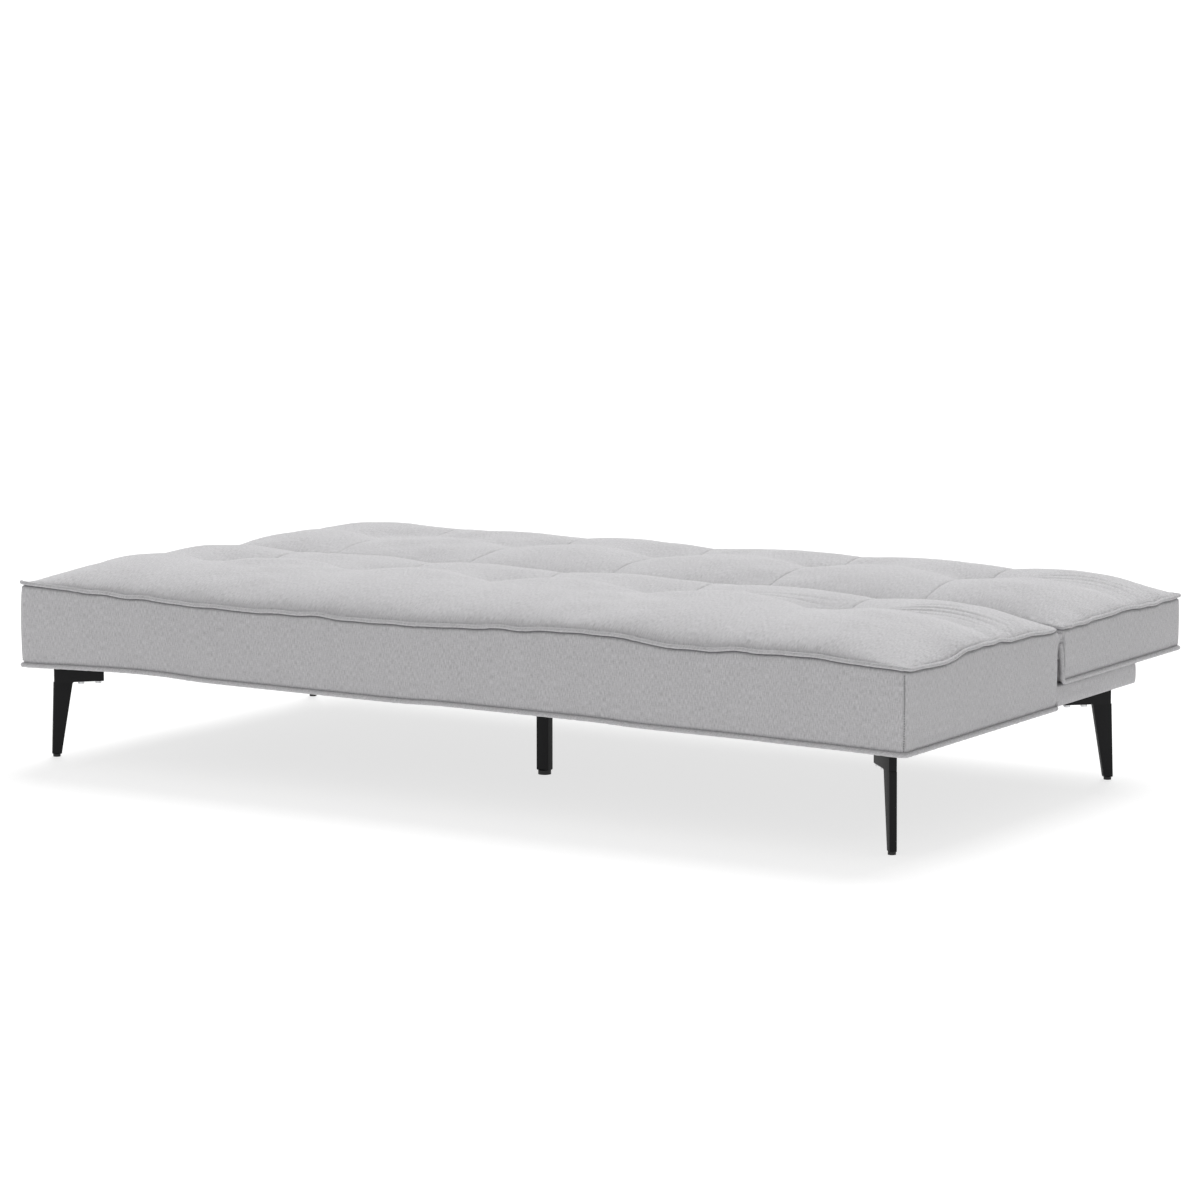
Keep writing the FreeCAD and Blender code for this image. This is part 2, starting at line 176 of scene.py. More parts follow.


# The creases, the painted shade in them and round the tufts, and the tufts, which both mattresses share.
sewing = {
    "easeReach": 0.10,
    "paintedShadeWidth": 0.0015,
    "tuftPaintedShadeReach": (0.022, 0.009),
    "tuftPaintedShade": 0.6,
    "creaseDepth": 0.0028,
    "creaseWidth": 0.0026,
    "troughDepth": 0.0085,
    "troughWidth": 0.05,
    "lobeEase": 0.35,
    "valleyReach": (0.034, 0.070),
    "fanDepth": 0.0014,
    "puckerDepth": 0.0011,
    "dimpleDepth": 0.0016,
}


# A sewn crease isn't quite straight: it bends by a slow sine of the distance from its tuft.
def creaseBend(fromRow, index):
    return 0.010 * np.sin(fromRow * 9 + index) * np.clip(np.abs(fromRow) / 0.03, 0, 1)


# Full strength at the tufts' row, easing to the front's or the rear's own share away from it.
def creaseStrength(fromRow, c):
    frontShare, rearShare = c["creaseFade"]
    far = np.where(fromRow < 0, frontShare, rearShare)
    ease = np.clip(np.abs(fromRow) / sewing["easeReach"], 0, 1)
    return 1 - ease * (1 - far)


# How much painted shade a place gets in the thin creases and round each tuft: 1 in the middle of a
# crease, 0 a few millimetres away.
def paintedShadeMask(x, y, c):
    (x0, y0, _), (x1, y1, _) = c["box"]
    edge = np.minimum(np.minimum(x - x0, x1 - x), np.minimum(y - y0, y1 - y))
    fromRow = y - c["tuftRow"]
    strength = creaseStrength(fromRow, c)
    shadeAmount = np.zeros_like(x)
    for index, tuftX in enumerate(c["tuftsX"]):
        across = x - tuftX - creaseBend(fromRow, index)
        shadeAmount += c["creasePaintedShade"] * np.exp(-(across / sewing["paintedShadeWidth"]) ** 2) * strength
        # Painted shade: a dark spot round each tuft's pit.
        spotReachX, spotReachY = sewing["tuftPaintedShadeReach"]
        tuftShadeSpot = ((x - tuftX) / spotReachX) ** 2 + (fromRow / spotReachY) ** 2
        shadeAmount += sewing["tuftPaintedShade"] * np.exp(-tuftShadeSpot)
    return np.clip(shadeAmount, 0, 1) * np.clip(edge / 0.02, 0, 1)


# Height above the seam: a crown that rises from every side, less the tufts, the valley
# along their row, the sewn creases across it and the folds that fan out from two tufts.
def crownHeight(x, y, c):
    (x0, y0, _), (x1, y1, _) = c["box"]
    endGap = np.minimum(x - x0, x1 - x)
    longGap = np.minimum(y - y0, y1 - y)
    rise = edgeRise(endGap, c["endReach"]) * edgeRise(longGap, c["longReach"])
    height = (c["crown"] + smoothBetween(x, c["crownLift"], 0.2)) * rise
    fromRow = y - c["tuftRow"]
    lobeHeight, lobePlace, lobeReach = c["lobe"]
    lobe = np.clip(endGap / sewing["lobeEase"], 0, 1) * np.exp(-((fromRow - lobePlace) / lobeReach) ** 2)
    height += lobeHeight * rise * lobe
    valleyReach = np.where(fromRow < 0, *sewing["valleyReach"])
    height -= c["valleyDepth"] * rise * np.exp(0.2 - np.sqrt((fromRow / valleyReach) ** 2 + 0.04))
    strength = creaseStrength(fromRow, c)
    for index, tuftX in enumerate(c["tuftsX"]):
        across = x - tuftX - creaseBend(fromRow, index)
        reachX, reachFront, reachRear = c["tuftReach"]
        reachY = np.where(fromRow < 0, reachFront, reachRear)
        round_ = np.sqrt(((x - tuftX) / reachX) ** 2 + (fromRow / reachY) ** 2 + 0.012) - 0.11
        height -= c["tuftDepth"] * rise * np.exp(-round_)
        groove = sewing["creaseDepth"] * np.exp(-np.abs(across) / sewing["creaseWidth"])
        wide = np.exp(-np.sqrt(across ** 2 + 0.0001) / sewing["troughWidth"])
        groove = groove + sewing["troughDepth"] * wide
        height -= groove * rise * strength
        angle = np.arctan2(fromRow, x - tuftX)
        ring = np.exp(-((round_ - 0.75) / 0.5) ** 2)
        height += 0.0009 * np.sin(7 * angle + index * 1.3) * ring * rise
    for index, amount in c["fans"]:
        along = x - c["tuftsX"][index]
        angle = fromRow / np.maximum(along + 0.16, 0.05)
        inside = np.clip(along / 0.05, 0, 1) * np.clip((0.30 - along) / 0.05, 0, 1)
        band = np.exp(-((angle - 0.17) / 0.11) ** 2)
        ripple = 1.2 - 2.2 * (0.5 + 0.5 * np.cos(angle * 95)) ** 3
        height += amount * sewing["fanDepth"] * ripple * inside * band * np.clip(endGap / 0.01, 0, 1)
    edge = np.minimum(endGap, longGap)
    puckers = wander(x + 0.3 * y, 0.034, 3.3) * wander(y - 0.2 * x, 0.041, 5.1)
    puckers = puckers * np.exp(-edge / 0.028) * np.clip(edge / 0.006, 0, 1)
    height += c["ripple"] * sewing["puckerDepth"] * puckers
    dimples = wander(x, 0.30, 6.2) * wander(y, 0.17, 7.7) * rise
    height += c["ripple"] * sewing["dimpleDepth"] * dimples
    least = c["leastHeight"]
    return np.where(rise > 0.5, least + np.logaddexp(0, (height - least) / 0.002) * 0.002, height)


# The plan outline's square corners are pulled on to quarter circles.
def roundCorners(x, y, c):
    (x0, y0, _), (x1, y1, _) = c["box"]
    radius = c["cornerRadius"]
    midX, midY = (x0 + x1) / 2, (y0 + y1) / 2
    dx = np.clip(np.abs(x - midX) - ((x1 - x0) / 2 - radius), 0, radius)
    dy = np.clip(np.abs(y - midY) - ((y1 - y0) / 2 - radius), 0, radius)
    newX = x - np.sign(x - midX) * dx * (1 - np.sqrt(1 - dy ** 2 / (2 * radius ** 2)))
    newY = y - np.sign(y - midY) * dy * (1 - np.sqrt(1 - dx ** 2 / (2 * radius ** 2)))
    return newX, newY


# The closed loop of grid numbers round a grid, anticlockwise from above.
def rimLoop(rows, columns):
    number = np.arange(rows * columns).reshape(rows, columns)
    return np.concatenate([number[0, :-1], number[:-1, -1], number[-1, :0:-1], number[:0:-1, 0]])


# The level direction square to a closed loop at each of its points, pointing outwards.
def outwardOf(points):
    ahead = np.roll(points, -1, axis=0) - np.roll(points, 1, axis=0)
    normal = np.stack([ahead[:, 1], -ahead[:, 0]], 1)
    return normal / np.linalg.norm(normal, axis=1)[:, None]


# One closed skin: the crowned top grid, a side panel of rows that swell between the two
# welts, a short turn-in under the frame's edge, and a level bottom.
def makeMattress(c):
    (x0, y0, _), (x1, y1, _) = c["box"]
    lineX = gradedLines(x0, x1, c["lines"][0], 0.25)
    lineY = gradedLines(y0, y1, c["lines"][1], 0.30)
    if c["tuftsX"]:
        lineX = withLinesNear(lineX, c["tuftsX"], 0.018, 0.0025)
        lineX = withLinesNear(lineX, c["tuftsX"], 0.005, 0.0010)
        lineY = withLinesNear(lineY, (c["tuftRow"] + 0.045,), 0.05, 0.002)
    gridX, gridY = np.meshgrid(lineX, lineY)
    bend = np.zeros_like(gridX)
    for index, tuftX in enumerate(c["tuftsX"]):
        follow = np.exp(-((gridX - tuftX) / 0.055) ** 2)
        bend += creaseBend(gridY - c["tuftRow"], index) * follow
    gridX = gridX + bend
    flatX, flatY = roundCorners(gridX, gridY, c)
    z = c["seamHeight"] + seamLift(gridX, gridY, c) + crownHeight(gridX, gridY, c)
    top = np.stack([flatX, flatY, z], -1).reshape(-1, 3)
    quads = gridQuads(len(lineY), len(lineX))
    uvTop = np.stack([gridX, gridY], -1).reshape(-1, 2)
    rim = rimLoop(len(lineY), len(lineX))
    c["rim"], c["counts"] = top[rim], (len(lineX), len(lineY))
    rimXY, rimZ = top[rim, :2], top[rim, 2]
    outward = outwardOf(rimXY)
    bottom = c["bottomHeight"] + smoothBetween(rimXY[:, 0], c["bottomLift"])
    openness = np.clip(c["openSide"] * outward[:, 1] * 1.6 - 0.3, 0, 1)
    bottom = bottom + (c["openSideBottom"] - bottom) * openness
    c["rimBottom"] = bottom
    along = lengthAlong(np.vstack([rimXY, rimXY[:1]]))
    tall = c["seamHeight"] - c["bottomHeight"]
    near = np.array([0.0017, 0.0030, 0.0040, 0.0050, 0.0062, 0.0080, 0.0110, 0.0160]) / tall
    near = near[near < 0.45]
    share = np.concatenate([near, np.linspace(near[-1], 1 - near[-1], 14)[1:-1], 1 - near[::-1], [1]])
    swell = np.sin(np.pi * share) ** 0.5 * c["panelBulge"]
    swell = swell - c["seamTuck"] * np.exp(-((share * tall - 0.0046) / 0.0020) ** 2)
    swell = swell - 0.3 * c["seamTuck"] * np.exp(-(((1 - share) * tall - 0.0068) / 0.0020) ** 2)
    dimples = c["ripple"] * 0.0011 * wander(along[:-1], 0.21, 8.8)[None] * np.sin(np.pi * share)[:, None]
    offset = swell[:, None] + dimples
    offset = offset * (1 - 0.7 * openness[None])
    corner = np.exp(-((np.abs(outward[:, 0]) - np.abs(outward[:, 1])) / 0.16) ** 2)
    offset = offset - 0.0009 * corner[None]
    rowsZ = rimZ[None] + (bottom - rimZ)[None] * share[:, None]
    backward = np.clip(-outward[:, 1], 0, 1)[None] * c["slant"] * share[:, None]
    toe = np.clip((share - 0.86) / 0.14, 0, 1)[:, None] ** 2 * np.clip(-outward[:, 1], 0, 1)[None]
    backward = backward + toe * c["slant"] * 1.3
    inner = [(-0.0004, bottom), (-0.0007, np.maximum(bottom, c["insideHeight"]))]
    if c["insideHeight"] <= c["bottomHeight"]:
        inner = []
    if c["lip"] > 0:
        inner = [(-c["lip"], bottom), (-c["lip"], bottom + 0.0008), (-0.0007, bottom + 0.0008),
                 (-0.0007, np.full(len(rim), c["insideHeight"]))]
    panels = []
    for row in range(len(share)):
        place = rimXY + outward * offset[row][:, None]
        place = place + np.stack([np.zeros(len(rim)), backward[row]], 1)
        panels.append(np.column_stack([place, rowsZ[row]]))
    for inset, height in inner:
        place = rimXY + outward * inset
        panels.append(np.column_stack([place, height]))
    points = np.vstack([top] + panels)
    count = len(rim)
    numbers = [rim] + [len(top) + count * k + np.arange(count) for k in range(len(panels))]
    bandQuads, bandUv = [], []
    for upper, lower in zip(numbers[:-1], numbers[1:]):
        nextUpper, nextLower = np.roll(upper, -1), np.roll(lower, -1)
        bandQuads.append(np.stack([lower, nextLower, nextUpper, upper], 1))
        zUpper, zLower = points[upper, 2], points[lower, 2]
        zNextUpper, zNextLower = points[nextUpper, 2], points[nextLower, 2]
        s, sNext = along[:-1], along[1:]
        bandUv.append(np.stack([np.stack([s, zLower], 1), np.stack([sNext, zNextLower], 1),
                                np.stack([sNext, zNextUpper], 1), np.stack([s, zUpper], 1)], 1))
    faces = np.vstack([quads] + bandQuads)
    corner = np.vstack([uvTop[quads]] + bandUv)
    piece = makePiece(c["name"], points, faces, corner, [numbers[-1][::-1].tolist()])
    # A point attribute of painted shade: it darkens the cloth in the thin creases, round the tufts, in
    # the groove under the top welt and, less, just above the bottom welt.
    paintedShade = np.zeros(len(points))
    paintedShade[: len(top)] = paintedShadeMask(gridX, gridY, c).ravel()
    seamShadeRows = np.exp(-((share * tall - 0.0046) / 0.0012) ** 2)
    seamShadeRows = seamShadeRows + 0.45 * np.exp(-(((1 - share) * tall - 0.0068) / 0.0013) ** 2)
    if c["seamTuck"] > 0:
        paintedShade[len(top): len(top) + count * len(share)] = np.repeat(seamShadeRows, count)
    layer = piece.data.attributes.new("paintedShade", "FLOAT", "POINT")
    layer.data.foreach_set("value", paintedShade.astype(np.float32))
    return piece


# A slot through a mattress for a hinge plate: its side outline is cut all the way across.
def cutSlots(piece, outline, centres, width):
    side = np.array(outline)
    count = len(side)
    for centre in centres:
        x = np.repeat([centre - width / 2, centre + width / 2], count)
        points = np.column_stack([x, np.tile(side, (2, 1))])
        first = np.arange(count)
        wall = np.stack([first, np.roll(first, -1), np.roll(first, -1) + count, first + count], 1)
        caps = [list(range(count))[::-1], list(range(count, 2 * count))]
        cutter = makePiece("slotCutter", points, wall, None, caps)
        turned = bmesh.new()
        turned.from_mesh(cutter.data)
        bmesh.ops.recalc_face_normals(turned, faces=turned.faces)
        turned.to_mesh(cutter.data)
        turned.free()
        cut = piece.modifiers.new("slot", "BOOLEAN")
        cut.object = cutter
        cut.operation = "DIFFERENCE"
        cut.solver = "EXACT"
        seen = piece.evaluated_get(bpy.context.evaluated_depsgraph_get())
        mesh = bpy.data.meshes.new_from_object(seen)
        piece.modifiers.clear()
        piece.data = mesh
        bpy.data.objects.remove(cutter)


# The rim's points from one open end, along one end of the mattress, round its welted long
# side and back along the other end, pushed outwards and tucked in at both ends.
def weltPath(c, heights, trim, look, tuck):
    nx, ny = c["counts"]
    count = len(heights)
    first = (nx - 1) * 2 + (ny - 1) if c["openSide"] > 0 else nx - 1
    order = (first + np.arange(2 * (ny - 1) + (nx - 1) + 1)) % count
    xy = c["rim"][:, :2]
    outward = outwardOf(xy)
    path = np.column_stack([xy + outward * look["outward"], heights])[order]
    outward = outward[order]
    (_, y0, _), (_, y1, _) = c["box"]
    inside = path[:, 1] < y1 - trim if c["openSide"] > 0 else path[:, 1] > y0 + trim
    path, outward = path[inside], outward[inside]
    along = lengthAlong(path)
    toEnd = np.minimum(along, along[-1] - along)
    path[:, :2] -= outward * (tuck * np.exp(-toEnd / look["tuckLength"]))[:, None]
    return path, along


# Where a welt turns up a corner, both of its ends go on round a small bend and straight up.
def turnedUp(path, bend, height, sink):
    turn = np.linspace(0, np.pi / 2, 8)[1:]
    rise = np.linspace(0, height - bend, 16)[1:]
    back = np.concatenate([bend * np.sin(turn), np.full(15, bend)])
    up = np.concatenate([bend * (1 - np.cos(turn)), bend + rise])
    ends = []
    for tip in (path[0], path[-1]):
        sunk = sink * (up / height) ** 2 * np.sign(tip[0])
        ends.append(np.column_stack([tip[0] - sunk, tip[1] - back, tip[2] + up]))
    return np.vstack([ends[0][::-1], path, ends[1]])


# A round cord along the rim, a little lumpy along its length.
def makeWelt(name, c, heights, trim, look, turnUp):
    path, along = weltPath(c, heights, trim, look, 0.0 if turnUp else look["tuck"])
    if turnUp:
        path = turnedUp(path, look["turnBend"], turnUp, look["turnSink"])
        along = lengthAlong(path)
    radius = look["radius"] + look["lumps"] * wander(along, 0.028, len(name))
    return tubeAlong(name, path, radius, look["sides"])


# The cloth across the fold: a strip that sags between the mattresses along the whole
# length and turns down over each end as a short tongue.
def makeFoldCloth(look, halfLength):
    straight = np.linspace(-halfLength + look["bend"], halfLength - look["bend"], 180)
    turn = np.linspace(0, np.pi / 2, 8)[1:]
    down = np.linspace(0, look["tongue"], 16)[1:]
    rightX = np.concatenate([halfLength - look["bend"] * (1 - np.sin(turn)),
                             halfLength - 0.006 * (down / look["tongue"]) ** 2])
    rightZ = np.concatenate([-look["bend"] * (1 - np.cos(turn)), -look["bend"] - down])
    pathX = np.concatenate([-rightX[::-1], straight, rightX])
    pathZ = np.concatenate([rightZ[::-1], np.zeros(len(straight)), rightZ])
    across = np.linspace(0, 1, 17)
    endShare = np.clip(-pathZ / look["bend"], 0, 1)
    y = look["front"] + (look["rear"] - look["front"]) * across
    gridY = np.broadcast_to(y, (len(pathX), len(across))).copy()
    dip = look["sag"] * np.sin(np.pi * across)[None] ** 0.8 * (1 - endShare)[:, None]
    dip = dip * (1 + 0.18 * wander(pathX, 0.13, 2.2))[:, None]
    gridZ = look["height"] + pathZ[:, None] - dip
    pull = 0.0022 * np.sin(np.pi * across)[None] ** 0.8 * endShare[:, None]
    gridX = pathX[:, None] - np.sign(pathX)[:, None] * pull
    points = np.stack([gridX, gridY, gridZ], -1).reshape(-1, 3)
    quads = gridQuads(len(pathX), len(across))[:, ::-1]
    along = np.concatenate([[0], np.cumsum(np.hypot(np.diff(pathX), np.diff(pathZ)))])
    u, v = np.meshgrid(along, y, indexing="ij")
    uv = np.stack([u, v], -1).reshape(-1, 2)
    piece = makePiece("foldCloth", points, quads, uv[quads])
    solid = piece.modifiers.new("cloth", "SOLIDIFY")
    solid.thickness = look["thickness"]
    solid.offset = -1
    return piece


# A tower of rounded rectangles: each row has a height, its two edges and a half thickness.
def sectionTower(name, rows, edge, turn, place, perCorner=5):
    rows = np.array(rows, float)
    quarter = np.linspace(0, np.pi / 2, perCorner)
    angle = np.concatenate([quarter + k * np.pi / 2 for k in range(4)])
    cornerX = np.repeat([1, -1, -1, 1], perCorner)
    cornerY = np.repeat([1, 1, -1, -1], perCorner)
    height, low, high, half = rows.T[:, :, None]
    s = (low + high) / 2 + cornerX * ((high - low) / 2 - edge) + edge * np.cos(angle)
    t = cornerY * (half - edge) + edge * np.sin(angle)
    x = place[0] + s * math.cos(turn) - t * math.sin(turn)
    y = place[1] + s * math.sin(turn) + t * math.cos(turn)
    points = np.stack([x, y, np.broadcast_to(height, x.shape)], -1).reshape(-1, 3)
    sides = len(angle)
    quads = gridQuads(len(rows), sides, wrap=True)
    last = (len(rows) - 1) * sides
    caps = [list(range(sides))[::-1], list(range(last, last + sides))]
    piece = makePiece(name, points, quads, None, caps)
    piece.data.set_sharp_from_angle(angle=math.radians(35))
    return piece


# A corner leg: a tapering blade that spreads into a flange under the frame.
def cornerLegRows(look):
    shin = look["topHeight"] - look["flange"]
    reach = look["topHeight"] - look["footHeight"]
    bottom = shin - look["fillet"]
    heights = np.concatenate([[look["footHeight"], look["footHeight"] + 0.0012],
                              np.linspace(look["footHeight"] + 0.02, bottom, 8),
                              bottom + look["fillet"] * np.sin(np.linspace(0.2, np.pi / 2, 6))])
    share = (heights - look["footHeight"]) / reach
    outer = look["outerFoot"] + (look["outerTop"] - look["outerFoot"]) * share
    inner = look["innerFoot"] + (look["innerTop"] - look["innerFoot"]) * np.clip(
        (heights - look["footHeight"]) / (bottom - look["footHeight"]), 0, 1)
    lift = np.clip((heights - bottom) / look["fillet"], 0, 1)
    inner = inner + look["fillet"] * (1 - np.sqrt(1 - lift ** 2))
    half = (look["thickFoot"] + (look["thickTop"] - look["thickFoot"]) * share) / 2
    rows = np.column_stack([heights, outer, inner, half])
    rows[0, 1:3] += (0.0010, -0.0010)
    rows[0, 3] -= 0.0010
    top = look["outerTop"]
    end = look["flangeEnd"]
    thick = look["thickTop"] / 2
    flange = [(shin, top, end - 0.0012, thick - 0.0002), (shin + 0.0010, top, end, thick),
              (look["topHeight"], top, end, thick)]
    return np.vstack([rows, flange])


# Short rounded stitches in one column up a corner's seam, following the swell of the panel.
def makeStitches(name, corner, outward, look):
    side = np.array([-outward[1], outward[0], 0.0])
    out = np.array([outward[0], outward[1], 0.0])
    low, high, margin = look["low"], look["high"], look["margin"]
    heights = np.arange(low, high, look["pitch"])
    rows = np.array([(-0.5, 0.25), (-0.38, 0.8), (0.0, 1.0), (0.38, 0.8), (0.5, 0.25)])
    turn = np.linspace(0, 2 * np.pi, 6, endpoint=False)
    quads = gridQuads(len(rows), len(turn), wrap=True)[:, ::-1]
    ring = (out[None] * np.cos(turn)[:, None] + side[None] * np.sin(turn)[:, None])
    shape = ring[None] * rows[:, 1, None, None] * look["radius"]
    shape = shape + np.array([0, 0, 1.0]) * rows[:, 0, None, None] * look["length"]
    base = np.tile(np.array(corner), (len(heights), 1))
    swell = np.sin(np.pi * (heights - low + margin) / (high - low + 2 * margin)) ** 0.5
    base += out[None] * (look["proud"] + look["swell"] * swell)[:, None]
    base[:, 2] = heights
    points = (base[:, None, None] + shape[None]).reshape(-1, 3)
    shift = np.arange(len(heights)) * len(rows) * len(turn)
    return makePiece(name, points, (quads[None] + shift[:, None, None]).reshape(-1, 4))


# A thin level sheet of lining with a slight sag between the rails that it is fixed to.
def makeLining(name, low, high, height, look):
    x = np.linspace(low[0], high[0], 121)
    y = np.linspace(low[1], high[1], 61)
    gridX, gridY = np.meshgrid(x, y)
    shareX = (gridX - low[0]) / (high[0] - low[0])
    shareY = (gridY - low[1]) / (high[1] - low[1])
    baysX, baysY = look["bays"]
    drop = look["sag"] * np.sin(np.pi * baysX * shareX) ** 2 * np.sin(np.pi * baysY * shareY) ** 2
    crease = 0.0002 * wander(gridX + gridY * 0.4, 0.09, 3.0) * wander(gridY, 0.12, 1.0)
    points = np.stack([gridX, gridY, height - drop + crease * np.sin(np.pi * shareX)], -1)
    quads = gridQuads(len(y), len(x))
    uv = np.stack([gridX, gridY], -1).reshape(-1, 2)
    piece = makePiece(name, points.reshape(-1, 3), quads, uv[quads])
    solid = piece.modifiers.new("cloth", "SOLIDIFY")
    solid.thickness = look["thickness"]
    solid.offset = -1
    return piece


# An empty node group with named sockets.
def newGroup(name, inputs, outputs):
    group = bpy.data.node_groups.new(name, "ShaderNodeTree")
    for label, kind, value in inputs:
        socket = group.interface.new_socket(name=label, in_out="INPUT", socket_type=kind)
        if value is not None:
            socket.default_value = value
    for label, kind in outputs:
        group.interface.new_socket(name=label, in_out="OUTPUT", socket_type=kind)
    return group, group.nodes.new("NodeGroupInput"), group.nodes.new("NodeGroupOutput")


# One sum on numbers or on other nodes' outputs.
def mathNode(tree, operation, first, second=None, clamp=False):
    node = tree.nodes.new("ShaderNodeMath")
    node.operation = operation
    node.use_clamp = clamp
    for index, value in enumerate((first, second)):
        if value is None:
            continue
        if isinstance(value, (int, float)):
            node.inputs[index].default_value = value
        else:
            tree.links.new(value, node.inputs[index])
    return node.outputs[0]


def noiseNode(tree, vector, scale, detail=2.0, roughness=0.5):
    node = tree.nodes.new("ShaderNodeTexNoise")
    node.inputs["Scale"].default_value = scale
    node.inputs["Detail"].default_value = detail
    node.inputs["Roughness"].default_value = roughness
    tree.links.new(vector, node.inputs["Vector"])
    return node.outputs["Fac"]


def stretched(tree, vector, scale):
    node = tree.nodes.new("ShaderNodeMapping")
    node.inputs["Scale"].default_value = scale
    tree.links.new(vector, node.inputs["Vector"])
    return node.outputs["Vector"]


# Plain weave: threads both ways as sines, heathered by streaks along each thread.
def makeWeaveGroup():
    group, start, end = newGroup(
        "plainWeave",
        [("Place", "NodeSocketVector", None), ("Thread Pitch", "NodeSocketFloat", 0.0011),
         ("Light Thread", "NodeSocketColor", (0.6, 0.6, 0.6, 1)),
         ("Dark Thread", "NodeSocketColor", (0.4, 0.4, 0.4, 1)),
         ("Heather", "NodeSocketFloat", 1.0)],
        [("Colour", "NodeSocketColor"), ("Height", "NodeSocketFloat"),
         ("Roughness", "NodeSocketFloat")])
    place = start.outputs["Place"]
    split = group.nodes.new("ShaderNodeSeparateXYZ")
    group.links.new(place, split.inputs[0])
    rate = mathNode(group, "DIVIDE", 2 * math.pi, start.outputs["Thread Pitch"])
    half = mathNode(group, "MULTIPLY", rate, 0.5)
    warpWave = mathNode(group, "SINE", mathNode(group, "MULTIPLY", split.outputs[0], rate))
    weftWave = mathNode(group, "SINE", mathNode(group, "MULTIPLY", split.outputs[1], rate))
    overWarp = mathNode(group, "SINE", mathNode(group, "MULTIPLY", split.outputs[0], half))
    overWeft = mathNode(group, "SINE", mathNode(group, "MULTIPLY", split.outputs[1], half))
    crossing = mathNode(group, "MULTIPLY", overWarp, overWeft)
    bumps = mathNode(group, "MULTIPLY", warpWave, weftWave)
    weave = mathNode(group, "ADD", mathNode(group, "MULTIPLY", bumps, 0.35),
                     mathNode(group, "MULTIPLY", crossing, 0.45))
    warpSlub = noiseNode(group, stretched(group, place, (720, 105, 1)), 1.0, 3.0)
    weftSlub = noiseNode(group, stretched(group, place, (150, 640, 1)), 1.0, 2.0)
    broad = noiseNode(group, stretched(group, place, (26, 9, 1)), 1.0, 3.0, 0.6)
    fuzz = noiseNode(group, stretched(group, place, (900, 900, 1)), 1.0, 2.0)
    slubs = mathNode(group, "ADD", mathNode(group, "MULTIPLY", warpSlub, 0.72),
                     mathNode(group, "MULTIPLY", weftSlub, 0.28))
    mottled = mathNode(group, "SUBTRACT", slubs, 0.5)
    mottled = mathNode(group, "MULTIPLY", mottled, 3.3)
    mottled = mathNode(group, "MULTIPLY", mottled, start.outputs["Heather"])
    tone = mathNode(group, "ADD", mottled, 0.62)
    tone = mathNode(group, "ADD", tone, mathNode(group, "MULTIPLY", weave, 0.16))
    tone = mathNode(group, "ADD", tone,
                    mathNode(group, "MULTIPLY", mathNode(group, "SUBTRACT", broad, 0.5), 0.22))
    tone = mathNode(group, "ADD", tone,
                    mathNode(group, "MULTIPLY", mathNode(group, "SUBTRACT", fuzz, 0.5), 0.25),
                    clamp=True)
    mix = group.nodes.new("ShaderNodeMix")
    mix.data_type = "RGBA"
    group.links.new(tone, mix.inputs[0])
    group.links.new(start.outputs["Dark Thread"], mix.inputs[6])
    group.links.new(start.outputs["Light Thread"], mix.inputs[7])
    height = mathNode(group, "ADD", weave, mathNode(group, "MULTIPLY", slubs, 0.8))
    height = mathNode(group, "ADD", height, mathNode(group, "MULTIPLY", fuzz, 0.5))
    rough = mathNode(group, "ADD", 0.78, mathNode(group, "MULTIPLY", slubs, 0.18), clamp=True)
    group.links.new(mix.outputs[2], end.inputs["Colour"])
    group.links.new(height, end.inputs["Height"])
    group.links.new(rough, end.inputs["Roughness"])
    return group


def newMaterial(name, roughness=0.6, metallic=0.0):
    material = bpy.data.materials.new(name)
    material.use_nodes = True
    shader = material.node_tree.nodes["Principled BSDF"]
    shader.inputs["Roughness"].default_value = roughness
    shader.inputs["Metallic"].default_value = metallic
    return material, material.node_tree, shader


def bumpInto(tree, shader, height, distance):
    bump = tree.nodes.new("ShaderNodeBump")
    bump.inputs["Distance"].default_value = distance
    tree.links.new(height, bump.inputs["Height"])
    tree.links.new(bump.outputs["Normal"], shader.inputs["Normal"])


# The weave laid on the piece's own flat layout, darkened as painted shade where the mesh's shade
# attribute is high.
def makeCloth(name, weave, look, turn=0.0):
    material, tree, shader = newMaterial(name, 0.85)
    place = tree.nodes.new("ShaderNodeUVMap")
    place.uv_map = "cloth"
    mapping = tree.nodes.new("ShaderNodeMapping")
    mapping.inputs["Rotation"].default_value = (0, 0, turn)
    tree.links.new(place.outputs["UV"], mapping.inputs["Vector"])
    cloth = tree.nodes.new("ShaderNodeGroup")
    cloth.node_tree = weave
    tree.links.new(mapping.outputs["Vector"], cloth.inputs["Place"])
    cloth.inputs["Thread Pitch"].default_value = look["threadPitch"]
    cloth.inputs["Light Thread"].default_value = look["lightThread"]
    cloth.inputs["Dark Thread"].default_value = look["darkThread"]
    cloth.inputs["Heather"].default_value = look["heather"]
    paintedShade = tree.nodes.new("ShaderNodeAttribute")
    paintedShade.attribute_name = "paintedShade"
    paintedShadeMix = tree.nodes.new("ShaderNodeMix")
    paintedShadeMix.data_type = "RGBA"
    paintedShadeMix.blend_type = "MULTIPLY"
    paintedShadeMix.inputs[7].default_value = look["paintedShadeTone"]
    tree.links.new(paintedShade.outputs["Fac"], paintedShadeMix.inputs[0])
    tree.links.new(cloth.outputs["Colour"], paintedShadeMix.inputs[6])
    tree.links.new(paintedShadeMix.outputs[2], shader.inputs["Base Color"])
    tree.links.new(cloth.outputs["Roughness"], shader.inputs["Roughness"])
    shader.inputs["Sheen Weight"].default_value = look["sheen"]
    shader.inputs["Sheen Roughness"].default_value = look["sheenRoughness"]
    shader.inputs["Specular IOR Level"].default_value = look["specular"]
    bumpInto(tree, shader, cloth.outputs["Height"], look["bump"])
    return material


